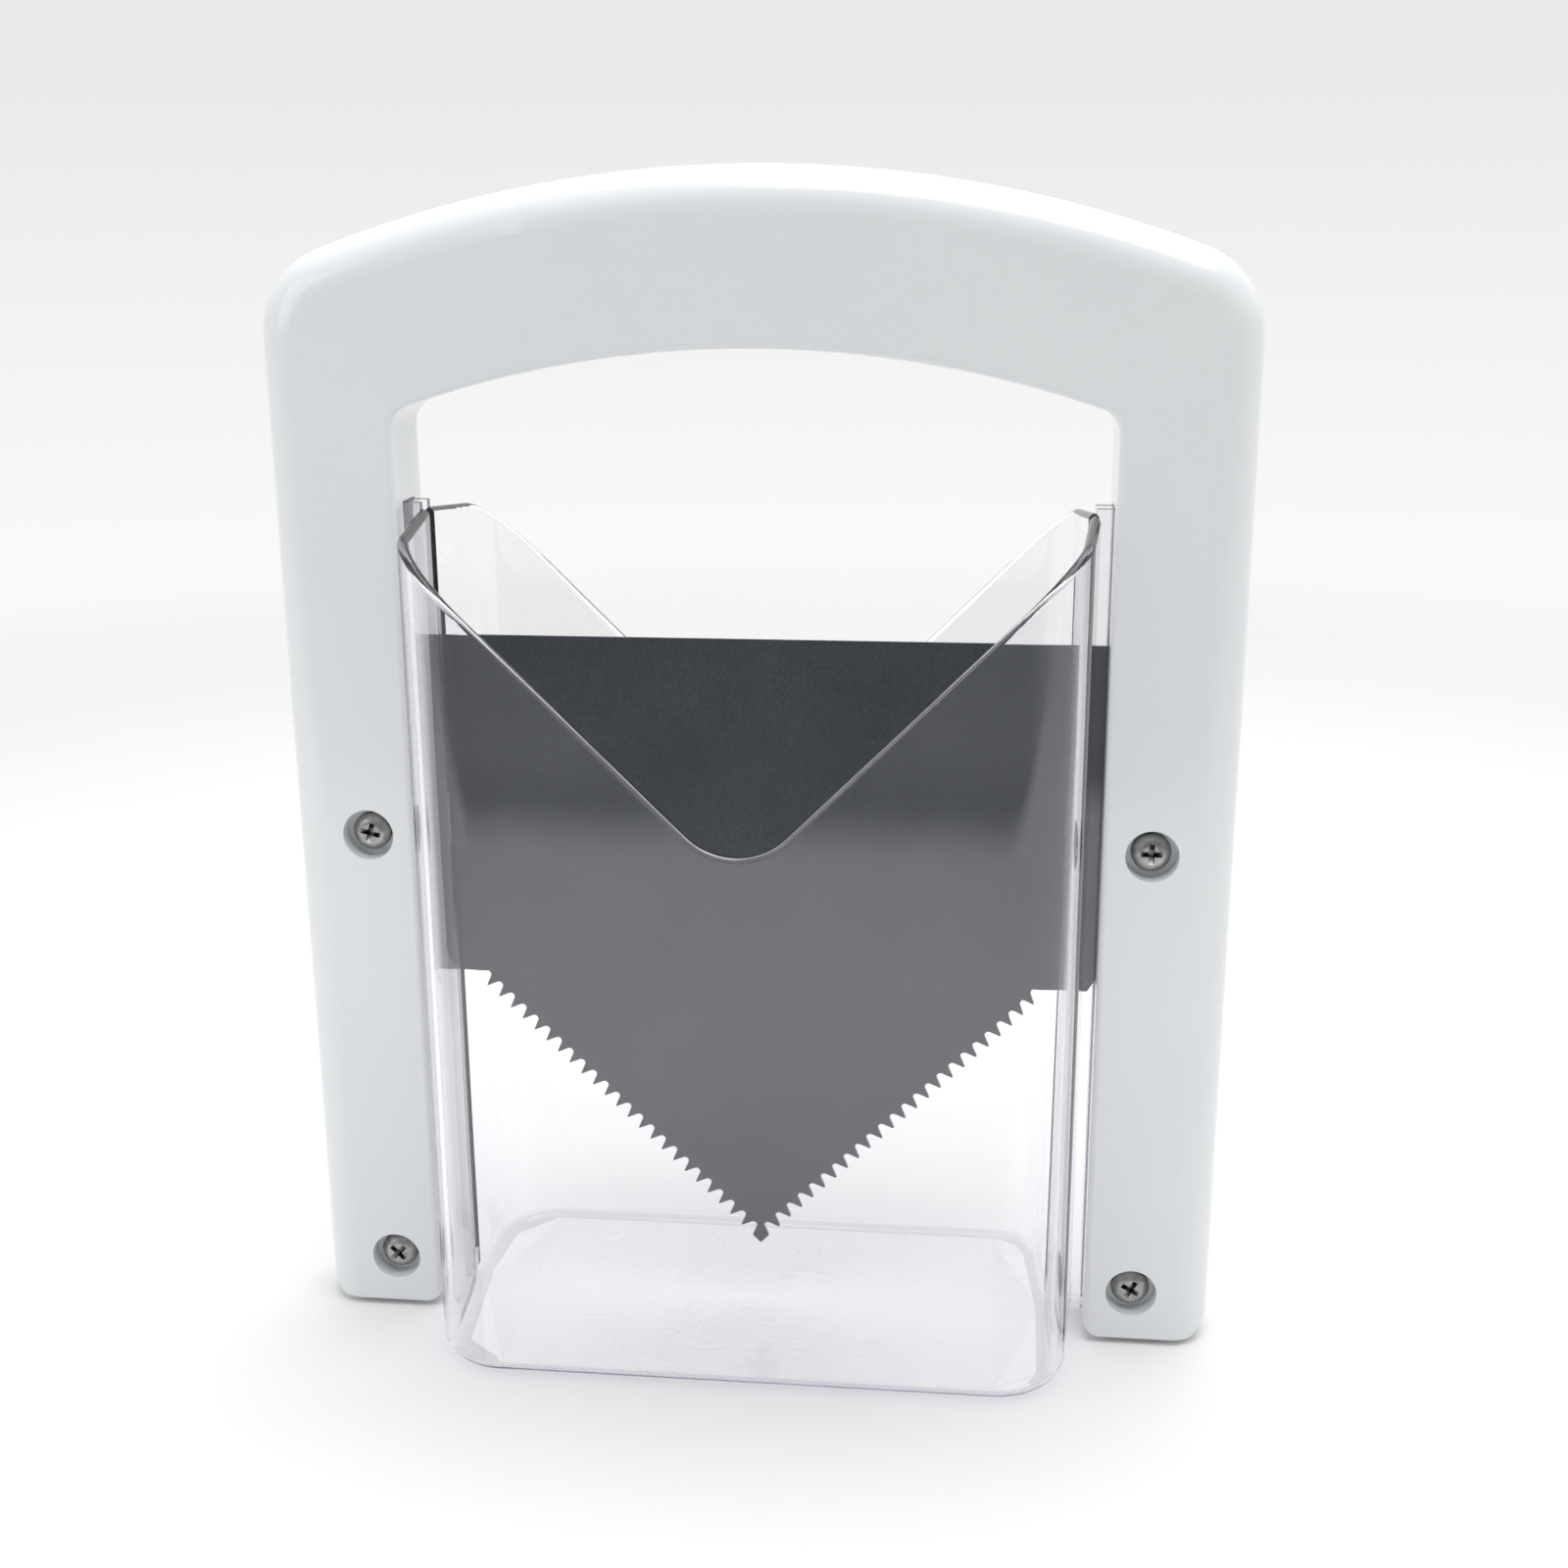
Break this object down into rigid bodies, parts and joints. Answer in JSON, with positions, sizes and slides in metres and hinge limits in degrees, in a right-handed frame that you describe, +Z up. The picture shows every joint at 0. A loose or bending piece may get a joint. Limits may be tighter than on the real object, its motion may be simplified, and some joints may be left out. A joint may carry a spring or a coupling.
{
  "type": "bagel guillotine slicer",
  "caption": "Clear plastic bagel holder with V-shaped notches and an arched white handle carrying a V-shaped serrated blade that slides down through it.",
  "frame": {"origin": "centre of the holder's base, on the table", "axes": "+X to the right along the blade, +Y to the rear, +Z up along the handle's travel; the blade lies in the plane Y = 0"},
  "size_m": [0.171, 0.0624, 0.2139],
  "materials": {
    "clear_plastic": "clear gloss",
    "white_plastic": "gloss",
    "coated_blade": "non-stick coating, satin",
    "screw_steel": "nickel plated"
  },
  "bodies": {
    "holder_body": {"holder": "clear_plastic"},
    "handle_body": {"handle_front": "white_plastic", "handle_rear": "white_plastic", "blade": "coated_blade", "screw_upper_left": "screw_steel", "screw_upper_right": "screw_steel", "screw_lower_left": "screw_steel", "screw_lower_right": "screw_steel"}
  },
  "joints": [
    {"name": "handle_slide", "type": "slide", "parent": "holder_body", "child": "handle_body", "axis": [0, 0, 1], "range_m": [0, 0.12]}
  ]
}
